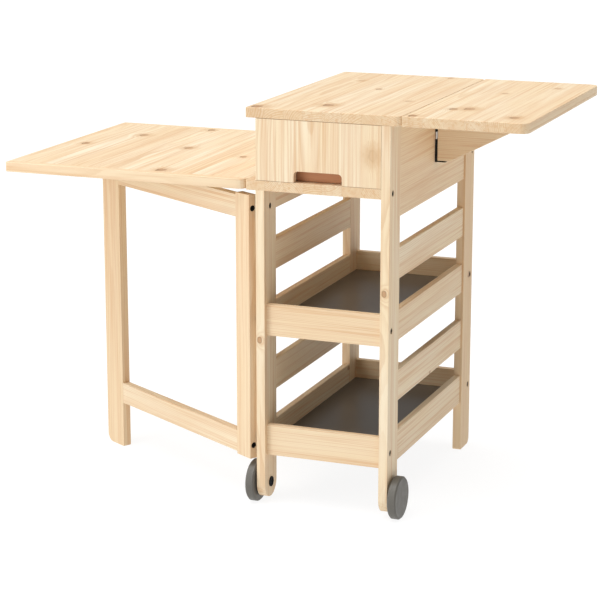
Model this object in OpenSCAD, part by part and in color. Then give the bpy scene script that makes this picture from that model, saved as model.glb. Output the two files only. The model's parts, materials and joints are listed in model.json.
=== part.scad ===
// Kitchen island cart with a high worktop leaf on the right, a low table leaf on the
// left, one drawer, two tray shelves and two wheels on the front legs.
// Millimetres. X is the width (right leaf on +X), Y the depth (drawer on -Y), Z is up.
// The origin is on the floor, under the middle of the whole outline seen from above.

/* [Overall] */
// Height of the worktop above the floor
overall_h = 900; // [850:1:950]
// Width over the outside faces of the legs
cart_w = 308; // [280:1:360]
// Depth over the front and back faces of the legs
cart_d = 616; // [560:1:680]
// Thickness of the worktop, the drawer board and both leaves
top_t = 22; // [18:0.5:30]
// How far the worktop and the drawer board stand past the legs
overhang = 23; // [15:0.5:35]
// Gap between a top and its leaf
seam = 1.2; // [1:0.1:4]
// Small radius on the corners of the worktop and the drawer board
small_r = 4; // [1:0.5:8]
// Radius on the worktop corners beside the right leaf
top_corner_r = 14; // [4:0.5:24]

/* [Legs] */
// Leg thickness across the width of the cart
leg_t = 20; // [16:0.5:30]
// Leg depth from front to back
leg_d = 68; // [50:1:80]
// Round at the foot of each back leg
foot_r = 15; // [5:0.5:25]
// Top face of the drawer board above the floor
board_z = 742; // [700:1:780]

/* [Side rails and trays] */
// Height of every rail
rail_h = 70; // [50:1:90]
// Rail thickness
rail_t = 16; // [12:0.5:20]
// Underside of the lowest rail above the floor
rail_z0 = 118; // [90:1:150]
// Height step from one rail to the next
rail_pitch = 138; // [120:1:160]
// How far the side rails sit in from the outside of the legs
side_inset = 4; // [0:0.5:8]
// How far the front rails sit back from the front of the legs
front_inset = 12; // [0:0.5:20]
// How far the back rails sit in from the back of the legs
back_inset = 8; // [0:0.5:20]
// Depth of each tray below the top edge of its rails
tray_depth = 46; // [30:1:60]
// Thickness of the grey tray floors
floor_t = 5; // [3:0.5:9]
// Square section of the battens under the tray floors
batten = 12; // [8:0.5:20]

/* [Drawer] */
// Thickness of the drawer front
front_t = 16; // [12:0.5:20]
// Gap round the drawer front
front_gap = 0.6; // [0.5:0.1:3]
// Length of the drawer box behind the front
box_len = 540; // [400:1:560]
// Thickness of the drawer sides and back
box_t = 12; // [9:0.5:16]
// Height of the drawer sides
box_h = 112; // [80:1:120]
// Underside of the drawer floor above the drawer board
box_floor_up = 27; // [24:0.5:40]
// Width of the finger cut-out
grip_w = 110; // [80:1:140]
// Height of the finger cut-out above the drawer board
grip_h = 25.5; // [18:0.5:32]
// Corner radius of the finger cut-out
grip_r = 9; // [3:0.5:14]
// Depth of the finger room behind the drawer's face
grip_deep = 24; // [18:1:60]

/* [Leaves] */
// Width of the right leaf
right_leaf_w = 272; // [200:1:340]
// Radius on the outer corners of the right leaf
right_leaf_r = 20; // [5:1:40]
// Width of the left leaf
left_leaf_w = 592; // [400:1:600]
// Radius on the left leaf corners beside the drawer board
left_leaf_r = 22; // [5:1:40]
// Radius on the outer corners of the left leaf
left_outer_r = 6; // [2:1:40]
// Width of the edge strip along the front and back of the left leaf
lipping = 20; // [10:1:40]

/* [Gate] */
// Thickness of the gate boards
gate_t = 20; // [16:0.5:22]
// Length of the gate from its hinge end to its outer end
gate_len = 595; // [450:1:600]
// How far the gate stands open from its folded place along the left side, in degrees
gate_open = 59; // [0:1:90]
// Width of the post beside the hinges
post_w = 50; // [40:1:70]
// Underside of the hinge post above the floor
post_z0 = 106; // [100:1:130]
// Top of the hinge post above the floor
post_z1 = 707; // [650:1:715]
// Width of the outer leg that stands on the floor
gate_leg_w = 70; // [50:1:90]
// Round on the outer foot of the gate leg
gate_foot_r = 20; // [5:1:30]
// Height of the two gate rails
gate_rail_h = 50; // [40:1:70]
// How far each gate rail sits in from the ends of the hinge post
gate_rail_in = 5; // [0:1:20]
// Gap between the gate leg and the leaf it carries
rest_gap = 0.4; // [0.3:0.1:1]

/* [Bracket] */
// Thickness of the swing-out bracket under the right leaf
flap_t = 20; // [14:0.5:22]
// Length of the bracket
flap_len = 210; // [150:1:230]
// Height of the bracket at its hinge
flap_h = 126; // [90:1:140]
// Height of the bracket at its tip
flap_tip = 32; // [15:1:60]
// Length of the level part under the bracket beside the hinge
flap_flat = 30; // [10:1:60]
// Distance of the bracket hinge behind the middle of the cart
flap_back = 12; // [-40:1:60]

/* [Wheels] */
// Wheel diameter
wheel_d = 96; // [80:1:120]
// Wheel width
wheel_w = 20; // [14:0.5:30]
// Bevel on each rim of a wheel
wheel_bevel = 3; // [1:0.5:6]
// Gap between a wheel and its leg
wheel_gap = 4; // [2:0.5:8]
// Axle diameter
axle_d = 10; // [6:0.5:14]
// Diameter of the black cap on the inside of each front leg
cap_d = 23; // [16:0.5:30]

/* [Fasteners] */
// Bolt head diameter
bolt_head_d = 13; // [8:0.5:14]
// Bolt shank diameter
bolt_d = 6; // [4:0.5:8]
// Bolt length under the head
bolt_len = 42; // [30:1:60]
// Bolt length under the head at the hinge end of the gate
post_bolt_len = 62; // [50:1:70]
// Bolt length under the head at the outer end of the gate
leg_bolt_len = 79; // [65:1:81]
// Depth of the pocket each bolt head sits in
pocket = 6.5; // [5.5:0.5:10]

/* [Hidden] */
mid_x = (left_leaf_w - right_leaf_w) / 2; // middle of the four legs
mid_y = (wheel_d - leg_d) / 4;
lx = mid_x - cart_w / 2;          // outside of the left legs
rx = mid_x + cart_w / 2;          // outside of the right legs
fy = mid_y - cart_d / 2;          // front of the legs
by = mid_y + cart_d / 2;          // back of the legs
top_z = overall_h - top_t;        // underside of the worktop
shelf_z = board_z - top_t;        // underside of the drawer board and left leaf
in_l = lx + leg_t;                // inside of the left legs
in_r = rx - leg_t;                // inside of the right legs
side_l = lx + side_inset;         // outside of the left rails
side_r = rx - side_inset;         // outside of the right rails
sy0 = fy + leg_d;                 // side rails start
sy1 = by - leg_d;                 // side rails end
ry_f = fy + front_inset;          // front face of the front rails
ry_b = by - back_inset;           // back face of the back rails
axle_z = wheel_d / 2;
axle_y = fy + leg_d / 2;
apron_z = rail_z0 + 4 * rail_pitch; // underside of both aprons
floor_z1 = rail_z0 + rail_h - tray_depth;                  // top of the low tray floor
floor_z2 = rail_z0 + 2 * rail_pitch + rail_h - tray_depth; // top of the high tray floor
mid_1 = rail_z0 + rail_h / 2;                    // middle of the low tray rails
mid_2 = rail_z0 + 2 * rail_pitch + rail_h / 2;   // middle of the high tray rails
mid_3 = shelf_z + top_t / 2;                     // middle of the drawer board
bolt_y_f = ry_f + rail_t / 2;
bolt_y_b = ry_b - rail_t / 2;
box_x0 = lx + rail_t + front_gap; // outside of the left drawer side
box_x1 = in_r - front_gap;        // outside of the right drawer side
box_y1 = fy + front_t + box_len;  // back of the drawer
box_z = board_z + box_floor_up + 5; // top of the drawer floor
head_h = 5;                       // height of a bolt head
bore_d = bolt_d + 0.4;
pocket_d = bolt_head_d + 0.8;
pin_d = 2.4;                      // hinge pins of the gate and the bracket
pin_bore = pin_d + 0.1;
knuckle_d = 6;                    // gate hinge barrels
hinge_x = lx - 3.3;               // gate hinge line
hinge_y = fy + 18;                // and its place behind the front of the leg
gate_s0 = 3.6;                    // hinge line to the end of the gate
turn = 90 - gate_open;            // gate direction measured from -X towards +Y
gate_top = shelf_z - rest_gap;
gate_x1 = gate_s0 + post_w;       // gate rails start
gate_x2 = gate_s0 + gate_len - gate_leg_w; // gate rails end
gate_x3 = gate_s0 + gate_len;     // outer end of the gate
gate_z1 = post_z0 + gate_rail_in; // underside of the low gate rail
gate_z2 = post_z1 - gate_rail_in - gate_rail_h; // underside of the high gate rail
gate_zs = [gate_z1 + gate_rail_h / 2, gate_z2 + gate_rail_h / 2];
flap_y = mid_y + flap_back;
flap_x = side_r + 2.5;            // bracket hinge line
flap_root = side_r + 5;           // bracket end beside the apron
flap_top = top_z - rest_gap;
flap_z = flap_top - flap_h;       // underside of the bracket
flap_k0 = flap_z + 50;            // bottom of its fixed knuckle
flap_k1 = flap_z + 66;            // top of its fixed knuckle
barrel_d = 4.4;                   // barrels of the bracket and seam hinges
leaf_r_x = rx + overhang + seam;  // inner edge of the right leaf
leaf_l_x = lx - overhang - seam;  // inner edge of the left leaf
seam_r = rx + overhang + seam / 2; // middle of the right seam
seam_l = lx - overhang - seam / 2; // middle of the left seam
hang_r = [fy + 48, mid_y + 80, by - 38];  // right leaf hinges
hang_l = [fy + 48, mid_y - 20, by - 130]; // left leaf hinges
hang_w = 40;                      // length of each leaf hinge
gate_hinges = [post_z0 + 12, post_z1 - 51];
butt_h = 50;                      // height of the gate hinges
$fn = 48;

// ---- shared shapes ----

// A board between two corners
module board(a, b) {
  translate(a)
    cube([b[0] - a[0], b[1] - a[1], b[2] - a[2]]);
}

// Flat outline of a rectangle with its own radius on each corner, from the low X,
// low Y corner round to the low X, high Y corner
module outline(x0, y0, x1, y1, r) {
  difference() {
    translate([x0, y0])
      square([x1 - x0, y1 - y0]);
    nick(x0, y0, 1, 1, r[0]);
    nick(x1, y0, -1, 1, r[1]);
    nick(x1, y1, -1, -1, r[2]);
    nick(x0, y1, 1, -1, r[3]);
  }
}

// The waste outside one rounded corner
module nick(x, y, sx, sy, r) {
  if (r > 0)
    translate([x, y])
      scale([sx, sy])
        difference() {
          translate([-1, -1])
            square([r + 1, r + 1]);
          translate([r, r])
            circle(r = r);
        }
}

// A tabletop of the shared thickness
module slab(x0, y0, x1, y1, z, r) {
  translate([0, 0, z])
    linear_extrude(top_t)
      outline(x0, y0, x1, y1, r);
}

// A cylinder along X that starts at x and runs the given length
module rod_x(x, y, z, d, len) {
  translate([x, y, z])
    rotate([0, 90, 0])
      cylinder(h = len, d = d);
}

// Pocket and hole for a bolt whose head sits in the face at x; side is +1 on a
// face that looks to +X and -1 on a face that looks to -X
module bolt_hole_x(x, y, z, side, depth) {
  translate([x, y, z])
    rotate([0, side * -90, 0]) {
      translate([0, 0, -1])
        cylinder(h = pocket + 1, d = pocket_d);
      cylinder(h = depth, d = bore_d);
    }
}

// A bolt in that hole
module bolt_x(x, y, z, side, len) {
  translate([x, y, z])
    rotate([0, side * -90, 0])
      bolt(len);
}

// A socket-head bolt whose head rests on the bottom of its pocket, shank along +Z
module bolt(len) {
  difference() {
    union() {
      translate([0, 0, pocket - head_h])
        cylinder(h = head_h, d = bolt_head_d);
      translate([0, 0, pocket])
        cylinder(h = len, d = bolt_d);
    }
    translate([0, 0, pocket - head_h - 1])
      cylinder(h = 4, d = 6, $fn = 6);
  }
}

// The rail of the given step on one side of the cart
module side_rail(x, i) {
  z = rail_z0 + i * rail_pitch;
  board([x, sy0, z], [x + rail_t, sy1, z + rail_h]);
}

// A front or back tray rail with its bolt holes
module tray_rail(y, i) {
  z = rail_z0 + i * rail_pitch;
  difference() {
    board([in_l, y, z], [in_r, y + rail_t, z + rail_h]);
    rod_x(in_l - 1, y + rail_t / 2, z + rail_h / 2, bore_d, bolt_len);
    rod_x(in_r + 1 - bolt_len, y + rail_t / 2, z + rail_h / 2, bore_d, bolt_len);
  }
}

// ---- legs ----

// A front leg with a half-round foot about the axle
module front_leg(x, z1) {
  difference() {
    union() {
      board([x, fy, axle_z], [x + leg_t, fy + leg_d, z1]);
      rod_x(x, axle_y, axle_z, leg_d, leg_t);
    }
    rod_x(x - 1, axle_y, axle_z, axle_d + 0.1, leg_t + 2);
  }
}

// A back leg whose rear bottom corner is rounded
module back_leg(x, z1) {
  translate([x, 0, 0])
    rotate([90, 0, 90])
      linear_extrude(leg_t)
        outline(sy1, 0, by, z1, [3, foot_r, 0, 0]);
}

module leg_front_left() {
  color([0.90, 0.76, 0.56])
    difference() {
      front_leg(lx, shelf_z);
      bolt_hole_x(lx, bolt_y_f, mid_1, -1, leg_t + 1);
      bolt_hole_x(lx, bolt_y_f, mid_2, -1, leg_t + 1);
      for (z = gate_hinges)
        bolt_hole_x(in_l, hinge_y + 18, z + 25, 1, leg_t + 1);
    }
}

module leg_front_right() {
  color([0.90, 0.76, 0.56])
    difference() {
      front_leg(in_r, top_z);
      for (z = [mid_1, mid_2, mid_3])
        bolt_hole_x(rx, bolt_y_f, z, 1, leg_t + 1);
    }
}

module leg_back_left() {
  color([0.88, 0.73, 0.53])
    difference() {
      back_leg(lx, shelf_z);
      bolt_hole_x(lx, bolt_y_b, mid_1, -1, leg_t + 1);
      bolt_hole_x(lx, bolt_y_b, mid_2, -1, leg_t + 1);
    }
}

module leg_back_right() {
  color([0.88, 0.73, 0.53])
    difference() {
      back_leg(in_r, top_z);
      for (z = [mid_1, mid_2, mid_3])
        bolt_hole_x(rx, bolt_y_b, z, 1, leg_t + 1);
    }
}

// ---- tops and cabinet ----

module worktop() {
  color([0.93, 0.80, 0.60])
    slab(lx - overhang, fy, rx + overhang, by, top_z,
      [small_r, top_corner_r, top_corner_r, small_r]);
}

module drawer_board() {
  color([0.93, 0.80, 0.60])
    difference() {
      slab(lx - overhang, fy, in_r, by, shelf_z, [small_r, 0, 0, small_r]);
      for (y = [bolt_y_f, bolt_y_b])
        rod_x(in_r + 1 - bolt_len, y, mid_3, bore_d, bolt_len);
    }
}

module side_panel_left() {
  color([0.88, 0.73, 0.53])
    board([lx, fy + front_t + front_gap, board_z], [lx + rail_t, by, top_z]);
}

module back_panel() {
  color([0.88, 0.73, 0.53])
    board([lx + rail_t, by - back_inset - rail_t, board_z], [in_r, by - back_inset, top_z]);
}

module apron_right() {
  color([0.86, 0.72, 0.54])
    board([side_r - rail_t, sy0, apron_z], [side_r, sy1, top_z]);
}

module apron_left() {
  color([0.86, 0.72, 0.54])
    board([side_l, sy0, apron_z], [side_l + rail_t, sy1, shelf_z]);
}

// ---- side rails and trays ----

module rail_right_1() {
  color([0.86, 0.72, 0.54])
    side_rail(side_r - rail_t, 0);
}

module rail_right_2() {
  color([0.86, 0.72, 0.54])
    side_rail(side_r - rail_t, 1);
}

module rail_right_3() {
  color([0.86, 0.72, 0.54])
    side_rail(side_r - rail_t, 2);
}

module rail_right_4() {
  color([0.86, 0.72, 0.54])
    side_rail(side_r - rail_t, 3);
}

module rail_left_1() {
  color([0.86, 0.72, 0.54])
    side_rail(side_l, 0);
}

module rail_left_2() {
  color([0.86, 0.72, 0.54])
    side_rail(side_l, 1);
}

module rail_left_3() {
  color([0.86, 0.72, 0.54])
    side_rail(side_l, 2);
}

module rail_left_4() {
  color([0.86, 0.72, 0.54])
    side_rail(side_l, 3);
}

module tray_low_front() {
  color([0.92, 0.79, 0.60])
    tray_rail(ry_f, 0);
}

module tray_low_back() {
  color([0.92, 0.79, 0.60])
    tray_rail(ry_b - rail_t, 0);
}

module tray_high_front() {
  color([0.92, 0.79, 0.60])
    tray_rail(ry_f, 2);
}

module tray_high_back() {
  color([0.92, 0.79, 0.60])
    tray_rail(ry_b - rail_t, 2);
}

// A grey floor inside the four rails of one tray
module tray_floor(z) {
  board([in_l, ry_f + rail_t, z - floor_t], [in_r, ry_b - rail_t, z]);
}

module tray_low_floor() {
  color([0.36, 0.33, 0.29])
    tray_floor(floor_z1);
}

module tray_high_floor() {
  color([0.36, 0.33, 0.29])
    tray_floor(floor_z2);
}

module tray_battens() {
  color([0.86, 0.72, 0.54])
    for (z = [floor_z1, floor_z2])
      for (x = [in_l, in_r - batten])
        board([x, ry_f + rail_t, z - floor_t - batten],
          [x + batten, ry_b - rail_t, z - floor_t]);
}

module frame_bolts() {
  color([0.12, 0.12, 0.12])
    for (y = [bolt_y_f, bolt_y_b]) {
      for (z = [mid_1, mid_2])
        bolt_x(lx, y, z, -1, bolt_len);
      for (z = [mid_1, mid_2, mid_3])
        bolt_x(rx, y, z, 1, bolt_len);
    }
}

// ---- drawer ----

// Bottom opening of the finger cut-out, as an outline in X and Z
module grip_outline() {
  mid = (lx + in_r) / 2;
  translate([mid - grip_w / 2, board_z])
    square([grip_w, grip_h - grip_r]);
  translate([mid - grip_w / 2 + grip_r, board_z])
    square([grip_w - 2 * grip_r, grip_h]);
  for (s = [-1, 1])
    translate([mid + s * (grip_w / 2 - grip_r), board_z + grip_h - grip_r])
      circle(r = grip_r);
}

module drawer_front() {
  color([0.93, 0.82, 0.64])
    translate([0, fy + front_t, 0])
      rotate([90, 0, 0])
        linear_extrude(front_t)
          difference() {
            translate([lx + 0.5, board_z + front_gap])
              square([in_r - front_gap - lx - 0.5, top_z - board_z - 2 * front_gap]);
            grip_outline();
          }
}

// A drawer side whose outer face is at x0 or x0 + box_t
module drawer_side(x0) {
  board([x0, fy + front_t, board_z + 0.6],
    [x0 + box_t, fy + front_t + box_len, board_z + 0.6 + box_h]);
}

module drawer_side_left() {
  color([0.88, 0.75, 0.56])
    drawer_side(box_x0);
}

module drawer_side_right() {
  color([0.88, 0.75, 0.56])
    drawer_side(box_x1 - box_t);
}

module drawer_back() {
  color([0.88, 0.75, 0.56])
    board([box_x0 + box_t, box_y1 - box_t, box_z],
      [box_x1 - box_t, box_y1, board_z + 0.6 + box_h]);
}

module drawer_floor() {
  color([0.86, 0.74, 0.56])
    board([box_x0 + box_t, fy + front_t, box_z - 5], [box_x1 - box_t, box_y1, box_z]);
}

// A batten under the drawer floor that closes the finger cut-out at the back
module drawer_grip_rail() {
  color([0.80, 0.58, 0.40])
    board([box_x0 + box_t, fy + grip_deep, board_z + 0.5],
      [box_x1 - box_t, fy + grip_deep + box_t, box_z - 5]);
}

// ---- leaves ----

// Fixed half of the small hinges under one seam: x is the seam, s is the side of
// the leaf, z the underside of the boards
module seam_fixed(x, s, z, places) {
  for (y = places) {
    board([min(x - s * 20, x - s * 2.6), y - hang_w / 2, z - 1.4],
      [max(x - s * 20, x - s * 2.6), y + hang_w / 2, z]);
    for (e = [y - 15, y + 15]) {
      seam_barrel(x, e, z, 10);
      board([min(x, x - s * 4), e - 5, z - 1.4], [max(x, x - s * 4), e + 5, z - 0.4]);
    }
    seam_pin(x, y, z);
  }
}

module seam_barrel(x, y, z, len) {
  translate([x, y + len / 2, z - 2.6])
    rotate([90, 0, 0])
      cylinder(h = len, d = barrel_d);
}

module seam_pin(x, y, z) {
  translate([x, y + 18, z - 2.6])
    rotate([90, 0, 0])
      cylinder(h = 36, d = 2);
}

// Moving half of the same hinges
module seam_moving(x, s, z, places) {
  for (y = places)
    difference() {
      union() {
        board([min(x + s * 2.6, x + s * 24), y - hang_w / 2, z - 1.4],
          [max(x + s * 2.6, x + s * 24), y + hang_w / 2, z]);
        board([min(x, x + s * 4), y - 9.7, z - 1.4], [max(x, x + s * 4), y + 9.7, z - 0.4]);
        seam_barrel(x, y, z, 19.4);
      }
      translate([x, y + 25, z - 2.6])
        rotate([90, 0, 0])
          cylinder(h = 50, d = 2.1);
    }
}

module leaf_right() {
  color([0.93, 0.80, 0.60])
    slab(leaf_r_x, fy, leaf_r_x + right_leaf_w, by, top_z,
      [0, right_leaf_r, right_leaf_r, 0]);
}

module leaf_right_plates() {
  color([0.62, 0.62, 0.62])
    seam_moving(seam_r, 1, top_z, hang_r);
}

module leaf_right_hinges() {
  color([0.62, 0.62, 0.62])
    seam_fixed(seam_r, 1, top_z, hang_r);
}

// Outline of the whole left leaf
module left_leaf_outline() {
  outline(leaf_l_x - left_leaf_w, fy, leaf_l_x, by,
    [left_outer_r, left_leaf_r, left_leaf_r, left_outer_r]);
}

// The part of that outline between the edge strips
module left_leaf_middle() {
  translate([leaf_l_x - left_leaf_w - 5, fy + lipping])
    square([left_leaf_w + 10, cart_d - 2 * lipping]);
}

module leaf_left() {
  color([0.93, 0.80, 0.60])
    translate([0, 0, shelf_z])
      linear_extrude(top_t)
        intersection() {
          left_leaf_outline();
          left_leaf_middle();
        }
}

module leaf_left_lippings() {
  color([0.94, 0.82, 0.62])
    translate([0, 0, shelf_z])
      linear_extrude(top_t)
        difference() {
          left_leaf_outline();
          left_leaf_middle();
        }
}

module leaf_left_plates() {
  color([0.62, 0.62, 0.62])
    seam_moving(seam_l, -1, shelf_z, hang_l);
}

module leaf_left_hinges() {
  color([0.62, 0.62, 0.62])
    seam_fixed(seam_l, -1, shelf_z, hang_l);
}

// ---- gate ----

// Puts a gate part, drawn with X along the gate and Y through its thickness, in place
module on_gate() {
  translate([hinge_x, hinge_y, 0])
    rotate([0, 0, 180 - turn])
      children();
}

module gate_post() {
  color([0.92, 0.77, 0.57])
    on_gate()
      difference() {
        board([gate_s0, 0, post_z0], [gate_x1, gate_t, post_z1]);
        for (z = gate_zs) {
          rod_x(gate_s0 - 1, gate_t / 2, z, pocket_d, pocket + 1);
          rod_x(gate_s0, gate_t / 2, z, bore_d, post_w + 1);
        }
      }
}

module gate_leg() {
  color([0.92, 0.77, 0.57])
    on_gate()
      difference() {
        translate([0, gate_t, 0])
          rotate([90, 0, 0])
            linear_extrude(gate_t)
              outline(gate_x2, 0, gate_x3, gate_top, [3, gate_foot_r, 0, 0]);
        for (z = gate_zs) {
          rod_x(gate_x3 - pocket, gate_t / 2, z, pocket_d, pocket + 1);
          rod_x(gate_x2 - 1, gate_t / 2, z, bore_d, gate_leg_w);
        }
      }
}

// A gate rail with a hole in each end
module gate_rail(z) {
  on_gate()
    difference() {
      board([gate_x1, 0, z], [gate_x2, gate_t, z + gate_rail_h]);
      rod_x(gate_x1 - 1, gate_t / 2, z + gate_rail_h / 2, bore_d, 24);
      rod_x(gate_x2 - 18, gate_t / 2, z + gate_rail_h / 2, bore_d, 19);
    }
}

module gate_rail_low() {
  color([0.92, 0.78, 0.58])
    gate_rail(gate_z1);
}

module gate_rail_high() {
  color([0.92, 0.78, 0.58])
    gate_rail(gate_z2);
}

module gate_bolts() {
  color([0.10, 0.10, 0.10])
    on_gate()
      for (z = gate_zs) {
        bolt_x(gate_s0, gate_t / 2, z, -1, post_bolt_len);
        bolt_x(gate_x3, gate_t / 2, z, 1, leg_bolt_len);
      }
}

// Upright hinge barrel on the gate hinge line
module barrel(z, h) {
  translate([0, 0, z])
    cylinder(h = h, d = knuckle_d);
}

module gate_plates() {
  color([0.62, 0.62, 0.62])
    on_gate()
      for (z = gate_hinges)
        difference() {
          union() {
            board([gate_s0, -1.2, z], [gate_s0 + 28, 0, z + butt_h]);
            board([0, -1.2, z + 16.4], [gate_s0 + 1, 0, z + butt_h - 16.4]);
            barrel(z + 16.4, butt_h - 32.8);
          }
          translate([0, 0, z - 1])
            cylinder(h = butt_h + 2, d = pin_bore);
        }
}

module gate_hinges() {
  color([0.62, 0.62, 0.62])
    for (z = gate_hinges) {
      board([lx - 1.2, hinge_y + 3.4, z], [lx, hinge_y + 30, z + butt_h]);
      for (e = [z, z + butt_h - 16]) {
        board([lx - 1.2, hinge_y, e], [lx - 0.5, hinge_y + 4, e + 16]);
        translate([hinge_x, hinge_y, 0])
          barrel(e, 16);
      }
      translate([hinge_x, hinge_y, z])
        cylinder(h = butt_h, d = pin_d);
    }
}

module gate_hinge_bolts() {
  color([0.10, 0.10, 0.10])
    for (z = gate_hinges)
      bolt_x(in_l, hinge_y + 18, z + 25, 1, leg_t - pocket - 0.2);
}

// ---- bracket ----

module bracket() {
  color([0.86, 0.70, 0.50])
    translate([0, flap_y + flap_t, 0])
      rotate([90, 0, 0])
        linear_extrude(flap_t)
          polygon([[flap_root, flap_z], [flap_root + flap_flat, flap_z],
            [flap_root + flap_len, flap_top - flap_tip],
            [flap_root + flap_len, flap_top], [flap_root, flap_top]]);
}

// A length of the barrel on the bracket hinge line
module flap_barrel(z, h) {
  translate([flap_x, flap_y, z])
    cylinder(h = h, d = barrel_d);
}

module bracket_angle() {
  color([0.07, 0.07, 0.07]) {
    difference() {
      union() {
        flap_barrel(flap_z - 2.4, flap_k0 - flap_z + 2);
        flap_barrel(flap_k1 + 0.4, flap_top - flap_k1 - 0.4);
        board([flap_x, flap_y, flap_z - 2.4], [flap_root, flap_y + 1.6, flap_k0 - 0.4]);
        board([flap_x, flap_y, flap_k1 + 0.4], [flap_root, flap_y + 1.6, flap_top]);
        board([flap_root - 1, flap_y, flap_z - 2.4],
          [flap_root, flap_y + 16, flap_k0 - 0.4]);
        board([flap_root - 1, flap_y, flap_k1 + 0.4],
          [flap_root, flap_y + 16, flap_top]);
      }
      translate([flap_x, flap_y, flap_z - 5])
        cylinder(h = flap_h + 10, d = pin_bore);
    }
    board([flap_root - 1, flap_y, flap_z - 2.4],
      [flap_root + 20, flap_y + flap_t, flap_z]);
  }
}

module bracket_knuckle() {
  color([0.72, 0.68, 0.66]) {
    flap_barrel(flap_k0, flap_k1 - flap_k0);
    board([side_r, flap_y + 1, flap_k0], [side_r + 1, flap_y + 22, flap_k1]);
    board([side_r, flap_y, flap_k0], [side_r + 2, flap_y + 1.2, flap_k1]);
    translate([flap_x, flap_y, flap_z - 2])
      cylinder(h = flap_h, d = pin_d);
  }
}

// ---- wheels ----

// A wheel whose inner face is at x and which extends to side s
module wheel(x, s) {
  translate([x, axle_y, axle_z])
    rotate([0, s * 90, 0])
      difference() {
        union() {
          cylinder(h = wheel_bevel, d1 = wheel_d - 2 * wheel_bevel, d2 = wheel_d);
          translate([0, 0, wheel_bevel])
            cylinder(h = wheel_w - 2 * wheel_bevel, d = wheel_d);
          translate([0, 0, wheel_w - wheel_bevel])
            cylinder(h = wheel_bevel, d1 = wheel_d, d2 = wheel_d - 2 * wheel_bevel);
          translate([0, 0, 0.6 - wheel_gap])
            cylinder(h = wheel_gap, d = 26);
        }
        translate([0, 0, -wheel_gap - 1])
          cylinder(h = wheel_gap + wheel_w - 3, d = axle_d + 0.1);
      }
}

// An axle from just inside the inner face of a leg at x out into its wheel
module axle(x, s) {
  rod_x(min(x, x + s * (leg_t + wheel_gap + wheel_w - 5)), axle_y, axle_z,
    axle_d, leg_t + wheel_gap + wheel_w - 5);
}

// A round cap over the inner end of an axle; s points away from the leg
module axle_cap(x, s) {
  translate([x, axle_y, axle_z])
    rotate([0, s * 90, 0])
      difference() {
        cylinder(h = 2.4, d = cap_d);
        translate([0, 0, 1.2])
          cylinder(h = 2, d = cap_d - 8);
        translate([0, 0, 0.6])
          cylinder(h = 2, d = 6, $fn = 6);
      }
}

module wheel_left() {
  color([0.42, 0.41, 0.38])
    wheel(lx - wheel_gap, -1);
}

module wheel_right() {
  color([0.42, 0.41, 0.38])
    wheel(rx + wheel_gap, 1);
}

module axle_left() {
  color([0.6, 0.6, 0.6])
    axle(in_l, -1);
}

module axle_right() {
  color([0.6, 0.6, 0.6])
    axle(in_r, 1);
}

module axle_caps() {
  color([0.06, 0.06, 0.06]) {
    axle_cap(in_l, 1);
    axle_cap(in_r, -1);
  }
}

leg_front_left();
leg_front_right();
leg_back_left();
leg_back_right();
worktop();
drawer_board();
side_panel_left();
back_panel();
apron_right();
apron_left();
rail_right_1();
rail_right_2();
rail_right_3();
rail_right_4();
rail_left_1();
rail_left_2();
rail_left_3();
rail_left_4();
tray_low_front();
tray_low_back();
tray_high_front();
tray_high_back();
tray_low_floor();
tray_high_floor();
tray_battens();
frame_bolts();
drawer_front();
drawer_side_left();
drawer_side_right();
drawer_back();
drawer_floor();
drawer_grip_rail();
leaf_right();
leaf_right_plates();
leaf_right_hinges();
leaf_left();
leaf_left_lippings();
leaf_left_plates();
leaf_left_hinges();
gate_post();
gate_leg();
gate_rail_low();
gate_rail_high();
gate_bolts();
gate_plates();
gate_hinges();
gate_hinge_bolts();
bracket();
bracket_angle();
bracket_knuckle();
wheel_left();
wheel_right();
axle_left();
axle_right();
axle_caps();
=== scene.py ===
import json
import math

import bpy
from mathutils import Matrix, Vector


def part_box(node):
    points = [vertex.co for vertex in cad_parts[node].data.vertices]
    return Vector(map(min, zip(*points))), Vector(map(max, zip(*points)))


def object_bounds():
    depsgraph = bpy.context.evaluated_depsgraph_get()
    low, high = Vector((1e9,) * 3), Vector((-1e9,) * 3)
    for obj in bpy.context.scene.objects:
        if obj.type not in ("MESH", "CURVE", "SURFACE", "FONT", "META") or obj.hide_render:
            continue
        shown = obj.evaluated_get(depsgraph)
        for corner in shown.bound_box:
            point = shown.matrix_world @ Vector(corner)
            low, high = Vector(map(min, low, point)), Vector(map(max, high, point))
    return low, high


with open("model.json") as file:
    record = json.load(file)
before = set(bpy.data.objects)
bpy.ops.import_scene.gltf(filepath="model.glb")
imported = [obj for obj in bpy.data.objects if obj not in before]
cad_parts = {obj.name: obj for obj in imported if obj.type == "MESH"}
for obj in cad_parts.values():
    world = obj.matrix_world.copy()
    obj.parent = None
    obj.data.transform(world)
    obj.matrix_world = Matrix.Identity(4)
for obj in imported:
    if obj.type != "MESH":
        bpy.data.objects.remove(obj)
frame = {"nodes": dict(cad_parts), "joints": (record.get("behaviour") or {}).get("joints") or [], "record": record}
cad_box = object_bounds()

nodes = frame["nodes"]
slot_of = {part["node"]: part["material_slot"] for part in frame["record"]["subparts"]}
gate_joint = next(joint for joint in frame["joints"] if joint["name"] == "gate_swing")

X, Y, Z = Vector((1, 0, 0)), Vector((0, 1, 0)), Vector((0, 0, 1))
MM = 1000.0  # millimetres in a metre; the wood is laid out in millimetres


# ---- shader building ----


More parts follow.
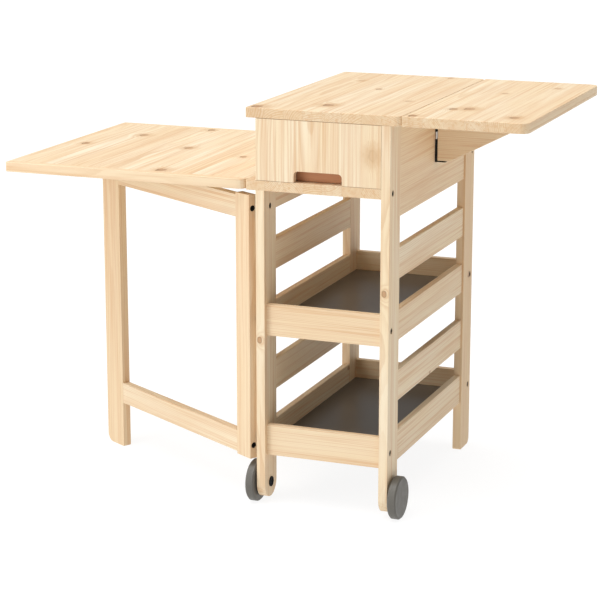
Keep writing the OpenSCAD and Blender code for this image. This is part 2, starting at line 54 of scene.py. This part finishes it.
class Graph:
    """Short calls that add nodes to one tree and link them."""

    def __init__(self, tree):
        self.tree = tree

    def add(self, kind, inputs=None, **settings):
        node = self.tree.nodes.new(kind)
        for key, value in settings.items():
            setattr(node, key, value)
        for key, value in (inputs or {}).items():
            self.feed(node.inputs[key], value)
        return node

    def feed(self, socket, value):
        if isinstance(value, bpy.types.NodeSocket):
            self.tree.links.new(value, socket)
        else:
            socket.default_value = value

    def math(self, operation, a, b=0.0, c=0.0):
        return self.add("ShaderNodeMath", {0: a, 1: b, 2: c}, operation=operation).outputs[0]

    def vector(self, operation, a, b=(0, 0, 0)):
        node = self.add("ShaderNodeVectorMath", {0: a, 1: b}, operation=operation)
        return node.outputs["Value" if operation in ("DOT_PRODUCT", "LENGTH") else "Vector"]

    def combine(self, x, y, z):
        return self.add("ShaderNodeCombineXYZ", {0: x, 1: y, 2: z}).outputs[0]

    def separate(self, vector):
        return list(self.add("ShaderNodeSeparateXYZ", {0: vector}).outputs)

    def noise(self, place, scale, detail=2.0, rough=0.5):
        """Noise from 0 to 1. Scale, one number or three, is the lumps to each unit of place."""
        scale = scale if isinstance(scale, tuple) else (scale,) * 3
        inputs = {"Vector": self.vector("MULTIPLY", place, scale), "Scale": 1.0,
                  "Detail": detail, "Roughness": rough}
        return self.add("ShaderNodeTexNoise", inputs).outputs[0]

    def ramp(self, value, low, high, start=0.0, end=1.0):
        """A smooth step from start to end as value goes from low to high."""
        inputs = {"Value": value, "From Min": low, "From Max": high, "To Min": start, "To Max": end}
        node = self.add("ShaderNodeMapRange", inputs, interpolation_type="SMOOTHSTEP")
        return node.outputs["Result"]

    def mix(self, share, a, b):
        """Colour a, with share of colour b."""
        node = self.add("ShaderNodeMix", data_type="RGBA")
        self.feed(node.inputs["Factor"], share)
        colours = [s for s in node.inputs if s.type == "RGBA"]
        self.feed(colours[0], a)
        self.feed(colours[1], b)
        return [s for s in node.outputs if s.type == "RGBA"][0]

    def parts(self, colour):
        """The red, green and blue of a colour."""
        return list(self.add("ShaderNodeSeparateColor", {0: colour}).outputs)

    def chance(self, value):
        """Three even random numbers that depend only on the value."""
        node = self.add("ShaderNodeTexWhiteNoise", {"W": value}, noise_dimensions="1D")
        return self.parts(node.outputs["Color"])


def rgb(r, g, b):
    return (r, g, b, 1.0)


def new_group(name, inputs, outputs):
    """An empty node group. Inputs and outputs are {name: "Float", "Vector" or "Color"}."""
    tree = bpy.data.node_groups.new(name, "ShaderNodeTree")
    for way, sockets in (("INPUT", inputs), ("OUTPUT", outputs)):
        for title, kind in sockets.items():
            tree.interface.new_socket(title, in_out=way, socket_type="NodeSocket" + kind)
    graph = Graph(tree)
    return graph, graph.add("NodeGroupInput").outputs, graph.add("NodeGroupOutput").inputs


# ---- the wood ----

PALE_SAPWOOD = rgb(0.868, 0.765, 0.58)
DEEP_SAPWOOD = rgb(0.853, 0.71, 0.49)
WARM_WOOD = rgb(0.79, 0.60, 0.38)
BLUSH = rgb(0.76, 0.55, 0.355)
LATE_WOOD = rgb(0.60, 0.345, 0.155)
STREAK = rgb(0.68, 0.43, 0.235)
RESIN = rgb(0.42, 0.23, 0.10)
FIBRE = rgb(0.50, 0.32, 0.17)
KNOT_HALO = rgb(0.58, 0.34, 0.16)
KNOT_HEART = rgb(0.50, 0.26, 0.115)
KNOT_RING = rgb(0.38, 0.175, 0.07)
KNOT_RIM = rgb(0.17, 0.07, 0.03)
END_GRAIN = rgb(0.60, 0.385, 0.20)
GLUE = rgb(0.36, 0.20, 0.09)
# painted shade: the red brown that boards sitting in shade are turned towards
PAINTED_SHADE_BROWN = rgb(0.46, 0.17, 0.07)

KNOT_SHAPE = (0.8, 0.66, 0.9)  # lengths are scaled by this, so knots are longer along the grain
PATCH = (52.0, 190.0, 0.0)  # mm across and along; each patch of board may hold a chance knot
SMALLEST_KNOT = 2.2  # mm
KNOT_SPREAD = 4.5  # mm that the largest chance knot has over the smallest
WHOLE_BOARD = 1000.0  # mm; a stave wider than any board, for boards that aren't glued up

KNOT_VALUES = {"Flow": "Float", "Knot": "Float", "Rim": "Float", "Rays": "Float"}


def make_knot_group():
    """One knot, with lengths in mm: how far it pushes the rings aside (Flow), its body (Knot), its
    dark edge (Rim), and the rings inside it (Rays)."""
    g, given, out = new_group("knot", {"Offset": "Vector", "Size": "Float"}, KNOT_VALUES)
    size = g.math("MAXIMUM", given["Size"], 0.01)
    flat = g.vector("MULTIPLY", given["Offset"], KNOT_SHAPE)
    own_place = g.combine(g.math("MULTIPLY", size, 9.0), 0.0, 0.0)
    shift = g.vector("ADD", given["Offset"], own_place)
    wobble = g.noise(shift, (0.13, 0.09, 0.04), 3.0)

    # away is the distance from the middle in knot sizes, made uneven
    away = g.math("DIVIDE", g.vector("LENGTH", flat), size)
    away = g.math("MULTIPLY_ADD", g.math("SUBTRACT", wobble, 0.5), 1.3, away)
    near = g.math("MULTIPLY", g.math("MULTIPLY", away, away), -0.16)
    push = g.math("MULTIPLY", g.math("EXPONENT", near), size)
    g.feed(out["Flow"], g.math("MULTIPLY", push, 1.25))
    g.feed(out["Knot"], g.ramp(away, 1.15, 0.75))

    # the rim is dark on one side and fades towards the other
    fade = g.ramp(g.separate(flat)[0], -5.0, 6.0, 1.0, 0.15)
    rim = g.ramp(g.math("ABSOLUTE", g.math("SUBTRACT", away, 0.92)), 0.3, 0.0)
    g.feed(out["Rim"], g.math("MULTIPLY", rim, fade))
    rings = g.math("MULTIPLY", away, g.math("MULTIPLY", size, 0.55))
    g.feed(out["Rays"], g.math("FRACT", rings))
    return g.tree


def make_scatter_group(knot):
    """Chance knots over a board: Many is the share of the patches that hold one."""
    inputs = {"Place": "Vector", "Seed": "Float", "Many": "Float"}
    g, given, out = new_group("scattered_knots", inputs, KNOT_VALUES)
    across, along, _ = g.separate(given["Place"])
    tiles = g.combine(g.math("MULTIPLY_ADD", across, 1 / PATCH[0], given["Seed"]),
                      g.math("MULTIPLY_ADD", along, 1 / PATCH[1], given["Seed"]), 0.0)
    cells = g.add("ShaderNodeTexVoronoi", {"Vector": tiles, "Scale": 1.0, "Randomness": 0.85},
                  voronoi_dimensions="2D")
    from_knot = g.vector("SUBTRACT", tiles, cells.outputs["Position"])
    luck = g.parts(cells.outputs["Color"])
    there = g.math("LESS_THAN", luck[0], given["Many"])
    size = g.math("MULTIPLY_ADD", luck[1], KNOT_SPREAD, SMALLEST_KNOT)
    inputs = {"Offset": g.vector("MULTIPLY", from_knot, PATCH),
              "Size": g.math("MULTIPLY", there, size)}
    one = g.add("ShaderNodeGroup", inputs, node_tree=knot)
    for name in KNOT_VALUES:
        g.feed(out[name], one.outputs[name])
    return g.tree


def make_pine_group():
    """Solid pine. Place is (across, along, depth) in mm from the board's low corner. Every stave
    is cut from its own log, so the rings run through faces, edges and end grain alike."""
    g, given, out = new_group(
        "pine", {"Place": "Vector", "Seed": "Float", "Stave": "Float", "End": "Float",
                 "Warmth": "Float", **KNOT_VALUES},
        {"Color": "Color", "Roughness": "Float", "Height": "Float"})
    across, along, depth = g.separate(given["Place"])
    stave = given["Stave"]
    index = g.math("FLOOR", g.math("DIVIDE", across, stave))
    middle = g.math("MULTIPLY", g.math("ADD", index, 0.5), stave)
    key = g.math("MULTIPLY_ADD", index, 3.71, given["Seed"])
    luck_across, luck_deep, luck_side = g.chance(key)
    luck_spacing, luck_start, luck_tone = g.chance(g.math("ADD", key, 0.517))
    own = g.combine(g.math("MULTIPLY", luck_across, 90.0), g.math("MULTIPLY", luck_deep, 170.0),
                    g.math("MULTIPLY", luck_side, 60.0))

    # the pith of this stave's log, above or below the board, which wanders a little along it
    run = g.combine(g.math("MULTIPLY", along, 1 / 420), 0.0, 0.0)
    sway = g.noise(g.vector("ADD", run, own), 1.0, 1.0)
    lift = g.noise(g.vector("ADD", run, g.vector("ADD", own, (7.0, 3.0, 5.0))), 1.0, 1.0)
    side = g.math("MULTIPLY_ADD", g.math("GREATER_THAN", luck_side, 0.5), 2.0, -1.0)
    pith_across = g.math("ADD", g.math("MULTIPLY", g.math("SUBTRACT", luck_across, 0.5), 150.0),
                         g.math("MULTIPLY", g.math("SUBTRACT", sway, 0.5), 26.0))
    reach = g.math("MULTIPLY_ADD", luck_deep, 60.0, 12.0)
    pith_deep = g.math("ADD", g.math("MULTIPLY", side, reach),
                       g.math("MULTIPLY", g.math("SUBTRACT", lift, 0.5), 20.0))
    radius = g.vector("LENGTH", g.combine(
        g.math("SUBTRACT", g.math("SUBTRACT", across, middle), pith_across),
        g.math("SUBTRACT", depth, pith_deep), 0.0))
    placed = g.vector("ADD", given["Place"], g.vector("MULTIPLY", own, (10.0, 10.0, 10.0)))
    wave = g.noise(placed, (1 / 26, 1 / 230, 1 / 26))
    ripple = g.noise(placed, (1 / 6, 1 / 55, 1 / 6))
    radius = g.math("ADD", radius, g.math("MULTIPLY", wave, 4.0))
    radius = g.math("ADD", radius, g.math("MULTIPLY", ripple, 0.5))
    radius = g.math("ADD", radius, given["Flow"])

    # yearly rings: pale early wood that darkens to a narrow late band with a sharp outer side
    spacing = g.math("MULTIPLY_ADD", luck_spacing, 3.4, 2.2)
    turns = g.math("ADD", g.math("DIVIDE", radius, spacing), g.math("MULTIPLY", luck_start, 40.0))
    part = g.math("FRACT", turns)
    year = g.chance(g.math("ADD", g.math("FLOOR", turns), g.math("MULTIPLY", key, 1.9)))
    late = g.math("MULTIPLY", g.ramp(part, 0.25, 0.88), g.ramp(part, 1.0, 0.92))
    late = g.math("MULTIPLY", late, g.math("MULTIPLY_ADD", year[0], 0.85, 0.15))

    # fibres, streaks and resin dashes along the grain
    fibre = g.noise(placed, (1.5, 0.04, 1.5))
    streak = g.noise(placed, (1 / 6, 1 / 420, 1 / 6), 3.0, 0.55)
    blush = g.noise(placed, (1 / 18, 1 / 500, 1 / 18))
    cloud = g.noise(placed, (1 / 60, 1 / 330, 1 / 60))
    dash = g.ramp(g.noise(placed, (1.1, 0.11, 1.1), 1.0), 0.76, 0.82)

    # the glue line between two staves; a board's own low edge has none
    nearest = g.math("MULTIPLY", g.math("ROUND", g.math("DIVIDE", across, stave)), stave)
    gap = g.math("ABSOLUTE", g.math("SUBTRACT", across, nearest))
    glue = g.math("MULTIPLY", g.ramp(gap, 0.45, 0.1), g.math("GREATER_THAN", across, 3.0))

    tone = g.math("ADD", g.math("MULTIPLY", luck_tone, 0.75), given["Warmth"])
    rings = g.math("MULTIPLY", late, g.math("MULTIPLY_ADD", given["End"], 0.28, 0.43))
    heart = g.mix(g.ramp(given["Rays"], 0.2, 0.9), KNOT_HEART, KNOT_RING)
    colour = g.mix(g.ramp(cloud, 0.35, 0.7), PALE_SAPWOOD, DEEP_SAPWOOD)
    for share, tint in (
            (tone, WARM_WOOD),
            (g.ramp(blush, 0.42, 0.72, 0.0, 0.6), BLUSH),
            (rings, LATE_WOOD),
            (g.ramp(streak, 0.46, 0.70, 0.0, 0.7), STREAK),
            (g.math("MULTIPLY", dash, 0.22), RESIN),
            (g.ramp(fibre, 0.3, 0.75, 0.0, 0.07), FIBRE),
            (g.ramp(given["Flow"], 0.8, 9.0, 0.0, 0.5), KNOT_HALO),
            (g.math("MULTIPLY", given["Knot"], 0.75), heart),
            (g.math("MULTIPLY", given["Rim"], 0.8), KNOT_RIM),
            (g.math("MULTIPLY", given["End"], 0.32), END_GRAIN),
            (g.math("MULTIPLY", glue, 0.22), GLUE)):
        colour = g.mix(share, colour, tint)
    g.feed(out["Color"], colour)

    rough = g.math("MULTIPLY_ADD", fibre, 0.16, 0.50)
    rough = g.math("MULTIPLY_ADD", late, -0.10, rough)
    g.feed(out["Roughness"], g.math("MULTIPLY_ADD", given["Knot"], -0.14, rough))
    height = g.math("ADD", g.math("MULTIPLY", late, 0.15), g.math("MULTIPLY", fibre, 0.5))
    height = g.math("ADD", height, g.math("MULTIPLY", dash, -0.5))
    height = g.math("ADD", height, g.math("MULTIPLY", given["Rim"], -0.7))
    g.feed(out["Height"], g.math("MULTIPLY_ADD", glue, -1.0, height))
    return g.tree


knot_group = make_knot_group()
scatter_group = make_scatter_group(knot_group)
pine_group = make_pine_group()


def new_material(name, **values):
    """A material with one Principled shader. Values are set on it, with _ for each space."""
    material = bpy.data.materials.new(name)
    material.use_nodes = True
    material.node_tree.nodes.clear()
    graph = Graph(material.node_tree)
    shader = graph.add("ShaderNodeBsdfPrincipled")
    output = graph.add("ShaderNodeOutputMaterial")
    graph.feed(output.inputs["Surface"], shader.outputs[0])
    for title, value in values.items():
        shader.inputs[title.replace("_", " ")].default_value = value
    return material, graph, shader


def bump(g, shader, height, distance):
    node = g.add("ShaderNodeBump", {"Height": height, "Strength": 1.0, "Distance": distance})
    g.feed(shader.inputs["Normal"], node.outputs[0])


def pine(name, low, across, along, depth, seed, stave=WHOLE_BOARD, many=0.12, knots=(), core=None,
         warmth=0.0, dark=0.0):
    """Pine for one board. low is the corner that staves and knots are counted from, and the three
    directions are the board's own. many is the share of patches with a chance knot. knots are
    (across, along, size) in mm and how dark; they run right through the board, or are balls at
    the depth core. warmth makes the wood more golden, and dark turns it towards a red brown; where
    they are set for boards that sit in shade, both are painted shade, darker and warmer wood in
    place of the shade and warm bounce light there."""
    material, g, shader = new_material("pine_" + name, Specular_IOR_Level=0.28)
    coordinate = g.add("ShaderNodeTexCoord")
    from_low = g.vector("SUBTRACT", coordinate.outputs["Object"], low)
    place = g.combine(*[g.vector("DOT_PRODUCT", from_low, direction * MM)
                        for direction in (across, along, depth)])
    facing = g.math("ABSOLUTE", g.vector("DOT_PRODUCT", coordinate.outputs["Normal"], along))
    scatter = g.add("ShaderNodeGroup", {"Place": place, "Seed": seed * 0.731, "Many": many},
                    node_tree=scatter_group)
    sums = {key: scatter.outputs[key] for key in KNOT_VALUES}
    through = (1.0, 1.0, 0.0 if core is None else 1.0)
    for x, y, size, body in knots:
        offset = g.vector("SUBTRACT", place, (x, y, core or 0.0))
        inputs = {"Offset": g.vector("MULTIPLY", offset, through), "Size": size}
        one = g.add("ShaderNodeGroup", inputs, node_tree=knot_group).outputs
        rays = g.math("MULTIPLY", one["Rays"], one["Knot"])
        sums["Rays"] = g.math("MAXIMUM", sums["Rays"], rays)
        sums["Flow"] = g.math("MAXIMUM", sums["Flow"], one["Flow"])
        for key in ("Knot", "Rim"):
            sums[key] = g.math("MAXIMUM", sums[key], g.math("MULTIPLY", one[key], body))
    inputs = {"Place": place, "Seed": seed, "Stave": stave, "End": g.ramp(facing, 0.6, 0.9),
              "Warmth": warmth, **sums}
    wood = g.add("ShaderNodeGroup", inputs, node_tree=pine_group).outputs
    # painted shade: dark turns the wood towards a red brown on boards that sit in shade
    colour = g.mix(dark, wood["Color"], PAINTED_SHADE_BROWN) if dark else wood["Color"]
    g.feed(shader.inputs["Base Color"], colour)
    g.feed(shader.inputs["Roughness"], wood["Roughness"])
    bump(g, shader, wood["Height"], 0.0001)
    return material


# ---- the other materials; noise is in lumps to the metre ----


def grey_board():
    """The tray floors: smooth dark melamine with a faint pebble texture."""
    material, g, shader = new_material("grey_board", Specular_IOR_Level=0.5)
    place = g.add("ShaderNodeTexCoord").outputs["Object"]
    speck = g.noise(place, 900.0)
    patch = g.noise(place, 7.0, 1.0)
    pebble = g.noise(place, 45.0, 0.0)
    colour = g.mix(g.ramp(speck, 0.35, 0.65), rgb(0.108, 0.093, 0.078), rgb(0.122, 0.106, 0.089))
    colour = g.mix(g.ramp(patch, 0.3, 0.7, 0.0, 0.25), colour, rgb(0.13, 0.113, 0.096))
    g.feed(shader.inputs["Base Color"], colour)
    g.feed(shader.inputs["Roughness"], g.ramp(patch, 0.2, 0.8, 0.30, 0.34))
    bump(g, shader, pebble, 0.00003)
    return material


def wheel_plastic():
    """Moulded grey plastic: fine speckle, faint turning marks and light scuffs."""
    material, g, shader = new_material("wheel_grey")
    place = g.add("ShaderNodeTexCoord").outputs["Object"]
    speck = g.noise(place, 1400.0)
    scuff = g.noise(place, (600.0, 45.0, 45.0), 4.0, 0.65)
    colour = g.mix(g.ramp(speck, 0.3, 0.7), rgb(0.105, 0.098, 0.083), rgb(0.130, 0.121, 0.104))
    colour = g.mix(g.ramp(scuff, 0.55, 0.8, 0.0, 0.35), colour, rgb(0.19, 0.178, 0.155))
    g.feed(shader.inputs["Base Color"], colour)
    g.feed(shader.inputs["Roughness"], g.ramp(scuff, 0.3, 0.8, 0.42, 0.62))
    bump(g, shader, g.math("ADD", speck, g.math("MULTIPLY", scuff, 0.6)), 0.00008)
    return material


def metal(name, colour, bright, rough, metallic, shine):
    """Fine rolling lines and small marks, for steel and for hard black fittings."""
    material, g, shader = new_material(name, Metallic=metallic, Specular_IOR_Level=shine)
    place = g.add("ShaderNodeTexCoord").outputs["Object"]
    line = g.noise(place, (2600.0, 2600.0, 90.0))
    mark = g.noise(place, 160.0, 4.0, 0.6)
    shade = g.mix(g.ramp(line, 0.3, 0.7), colour, bright)
    shade = g.mix(g.ramp(mark, 0.55, 0.8, 0.0, 0.4), shade, bright)
    g.feed(shader.inputs["Base Color"], shade)
    g.feed(shader.inputs["Roughness"], g.ramp(mark, 0.3, 0.75, rough, rough + 0.16))
    bump(g, shader, line, 0.00003)
    return material


STEEL, BRIGHT_STEEL = rgb(0.50, 0.49, 0.47), rgb(0.68, 0.67, 0.65)
# BLACK is the black fittings' own colour; on the black plate that fills the gap at the bracket's hinge it is also
# painted shade, a dark sheet where the gap lies in deep shade
BLACK = rgb(0.004, 0.004, 0.004)
other_materials = {
    "grey_board": grey_board(),
    "wheel_grey": wheel_plastic(),
    "steel": metal("zinc_steel", STEEL, BRIGHT_STEEL, 0.30, 1.0, 0.5),
    "black_metal": metal("black_steel", BLACK, rgb(0.012, 0.012, 0.012), 0.50, 0.0, 0.12),
    "black_plastic": metal("black_plastic", BLACK, rgb(0.010, 0.010, 0.010), 0.55, 0.0, 0.12),
}


# ---- materials on the CAD nodes ----

# At rest the gate stands short of square to the cart by the upper limit of its joint
short_of_square = math.radians(gate_joint["range_deg"][1])
gate_hinge = Vector(gate_joint["pos_m"])
gate_way = Vector((-math.cos(short_of_square), math.sin(short_of_square), 0))
gate_side = Vector((-math.sin(short_of_square), -math.cos(short_of_square), 0))

grain = {  # node or family: (across, along, depth)
    "leg": (Y, Z, X), "rail": (Z, Y, X), "apron": (Z, Y, X), "side_panel": (Z, Y, X),
    "back_panel": (Z, X, Y), "tray_battens": (X, Y, Z), "tray": (Z, X, Y),
    "drawer_side": (Z, Y, X), "drawer_back": (Z, X, Y), "drawer_floor": (X, Y, Z),
    "drawer_grip": (Z, X, Y), "drawer_front": (X, Z, Y), "drawer_board": (X, Y, Z),
    "worktop": (X, Y, Z), "leaf_left_lippings": (Y, X, Z), "leaf": (X, Y, Z),
    "gate_post": (gate_way, Z, gate_side), "gate_leg": (gate_way, Z, gate_side),
    "gate_rail": (Z, gate_way, gate_side), "bracket": (Z, X, Y),
}

looks = {  # what pine() is told about the boards that differ from the usual; warmth and dark on boards in shade are painted shade
    "worktop": dict(stave=44.25, many=0.0, knots=(
        (20, 22, 9, 1.0), (158, 93, 9, 0.9), (178, 363, 5, 1.0), (275, 598, 5, 0.6),
        (300, 210, 5, 0.4), (95, 480, 6, 0.3))),
    "leaf_right": dict(stave=45.4, many=0.0, knots=(
        (18, 19, 7, 1.0), (70, 138, 7, 0.9), (102, 152, 9, 0.7), (224, 68, 8, 0.8),
        (110, 400, 5, 0.5), (200, 520, 6, 0.4))),
    "leaf_left": dict(stave=45.6, many=0.0, knots=(
        (54, 276, 7, 1.0), (132, 432, 8, 0.8), (256, 563, 7, 1.0), (311, 303, 8, 0.8),
        (374, 20, 9, 0.9), (478, 239, 6, 0.9))),
    "drawer_board": dict(stave=44.4, many=0.05),
    "drawer_front": dict(stave=48.0, many=0.0, knots=((268, 70, 8, 0.12),)),
    # painted shade: the grip rail seen through the finger cut-out is made darker and warmer to stand for the shade
    # and warm bounce light in that niche
    "drawer_grip_rail": dict(warmth=1.0, dark=0.8),
    "leg_front_right": dict(many=0.0, warmth=0.2, core=9, knots=((0, 500, 5, 0.9),)),
    "leg_front_left": dict(many=0.0, core=8, knots=((0, 370, 5, 0.9),)),
    # painted shade: warmth darkens the back right leg for the shade it stands in under the worktop
    "leg_back_right": dict(warmth=0.4),
    "apron_right": dict(many=0.0),
    "gate_post": dict(warmth=0.4),
    "gate_leg": dict(warmth=0.4, many=0.0, knots=((560, 520, 6, 0.9), (568, 490, 4, 0.5))),
    # painted shade: warmth darkens the inner left rails for the shade on their inner faces
    "rail_left_2": dict(warmth=0.4),
    "rail_left_4": dict(warmth=0.4),
    "rail_right_1": dict(warmth=0.4),
    "tray_low_front": dict(many=0.0, warmth=0.3),
    "tray_high_front": dict(many=0.0),
}


def directions(node):
    """The board's grain, from the longest name in grain that its own name starts with."""
    family = max((key for key in grain if node.startswith(key)), key=len)
    return grain[family]


for number, (name, obj) in enumerate(sorted(nodes.items())):
    slot = slot_of[name]
    if slot == "pine":
        # each board has a seed of its own, and so do its staves and rings in the pine group
        low = gate_hinge if name.startswith("gate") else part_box(name)[0]
        material = pine(name, low, *directions(name), seed=number * 7.13 + 1.7,
                        **looks.get(name, {}))
    else:
        material = other_materials[slot]
    obj.data.materials.clear()
    obj.data.materials.append(material)


# ---- softened edges ----

USUAL_EDGE = 2.2  # mm that an edge is rounded over
edge_of = {
    "worktop": 1.4, "leaf_right": 1.4, "leaf_left": 1.4, "leaf_left_lippings": 1.4,
    "drawer_board": 1.4, "drawer_front": 0.6, "drawer_floor": 0.3, "tray_low_floor": 0.3,
    "tray_high_floor": 0.3, "side_panel_left": 1.0, "back_panel": 1.0,
}


def round_edges(obj, width):
    """Rounds the sharp edges of a flat-sided piece over width mm; flat faces stay flat."""
    mesh = obj.data
    if "custom_normal" in mesh.attributes:
        mesh.attributes.remove(mesh.attributes["custom_normal"])
    obj.modifiers.new("weld", "WELD").merge_threshold = 0.01 / MM
    flat = obj.modifiers.new("flat", "DECIMATE")
    flat.decimate_type = "DISSOLVE"
    flat.angle_limit = math.radians(0.5)
    edge = obj.modifiers.new("edge", "BEVEL")
    edge.width = width / MM
    edge.segments = 3
    edge.limit_method = "ANGLE"
    edge.angle_limit = math.radians(40)
    edge.harden_normals = True


for name, obj in nodes.items():
    if slot_of[name] in ("pine", "grey_board"):
        round_edges(obj, edge_of.get(name, USUAL_EDGE))


# ---- floor, light and camera ----

WHITE = rgb(1, 1, 1)
FLOOR_GREY = rgb(0.17, 0.17, 0.17)
FLOOR_GLOW = 0.88
OVERHEAD_POWER = 2.9
SOFTBOX_POWER = 48
SKY_POWER = 0.37

CAMERA_PLACE = (1.698, -4.339, 1.564)
CAMERA_TILT = math.radians(13.97)  # down from level
CAMERA_TURN = math.radians(21.47)  # to the left of looking along Y
CAMERA_LENS = 123.32  # mm, on a picture 36 mm wide


def make_floor():
    """A pale floor that glows a little, so that shadows on it stay faint, and a white backdrop."""
    bpy.ops.mesh.primitive_plane_add(size=70, location=(0, 0, cad_box[0].z))
    floor = bpy.context.object
    floor.name = "floor"
    material, _, _ = new_material(
        "floor", Base_Color=FLOOR_GREY, Roughness=0.9, Specular_IOR_Level=0.0,
        Emission_Color=WHITE, Emission_Strength=FLOOR_GLOW)
    floor.data.materials.append(material)
    bpy.ops.mesh.primitive_uv_sphere_add(radius=36, segments=48, ring_count=24)
    backdrop = bpy.context.object
    backdrop.name = "backdrop"
    backdrop.visible_diffuse = backdrop.visible_glossy = backdrop.visible_shadow = False
    material, _, _ = new_material(
        "backdrop", Base_Color=rgb(0, 0, 0), Specular_IOR_Level=0.0,
        Emission_Color=WHITE, Emission_Strength=1.0)
    backdrop.data.materials.append(material)


def make_sun(name, toward, spread, power):
    """Even light from one direction; spread is how wide the source looks, in degrees."""
    light = bpy.data.lights.new(name, "SUN")
    light.angle = math.radians(spread)
    light.energy = power
    obj = bpy.data.objects.new(name, light)
    obj.rotation_euler = Vector(toward).to_track_quat("Z", "Y").to_euler()
    bpy.context.scene.collection.objects.link(obj)


def make_softbox(name, place, aim, size, power):
    """A round lamp, size metres across, that stands at place and points at aim."""
    light = bpy.data.lights.new(name, "AREA")
    light.shape = "DISK"
    light.size = size
    light.energy = power
    obj = bpy.data.objects.new(name, light)
    obj.location = place
    obj.rotation_euler = (Vector(aim) - Vector(place)).to_track_quat("-Z", "Y").to_euler()
    bpy.context.scene.collection.objects.link(obj)


def make_sky():
    """Even white light from all around."""
    world = bpy.data.worlds.new("studio")
    world.use_nodes = True
    background = world.node_tree.nodes["Background"]
    background.inputs["Color"].default_value = WHITE
    background.inputs["Strength"].default_value = SKY_POWER
    bpy.context.scene.world = world


def make_camera():
    camera = bpy.data.cameras.new("camera")
    camera.sensor_width = 36.0
    camera.lens = CAMERA_LENS
    eye = bpy.data.objects.new("camera", camera)
    eye.location = CAMERA_PLACE
    eye.rotation_euler = (math.radians(90) - CAMERA_TILT, 0, CAMERA_TURN)
    bpy.context.scene.collection.objects.link(eye)
    bpy.context.scene.camera = eye


make_floor()
make_sun("overhead", (-0.12, -0.15, 1.0), 60, OVERHEAD_POWER)
make_softbox("left_front", (-2.1, -3.0, 1.5), (0.1, 0.0, 0.55), 2.4, SOFTBOX_POWER)
make_sky()
make_camera()
bpy.context.scene.view_settings.view_transform = "Standard"
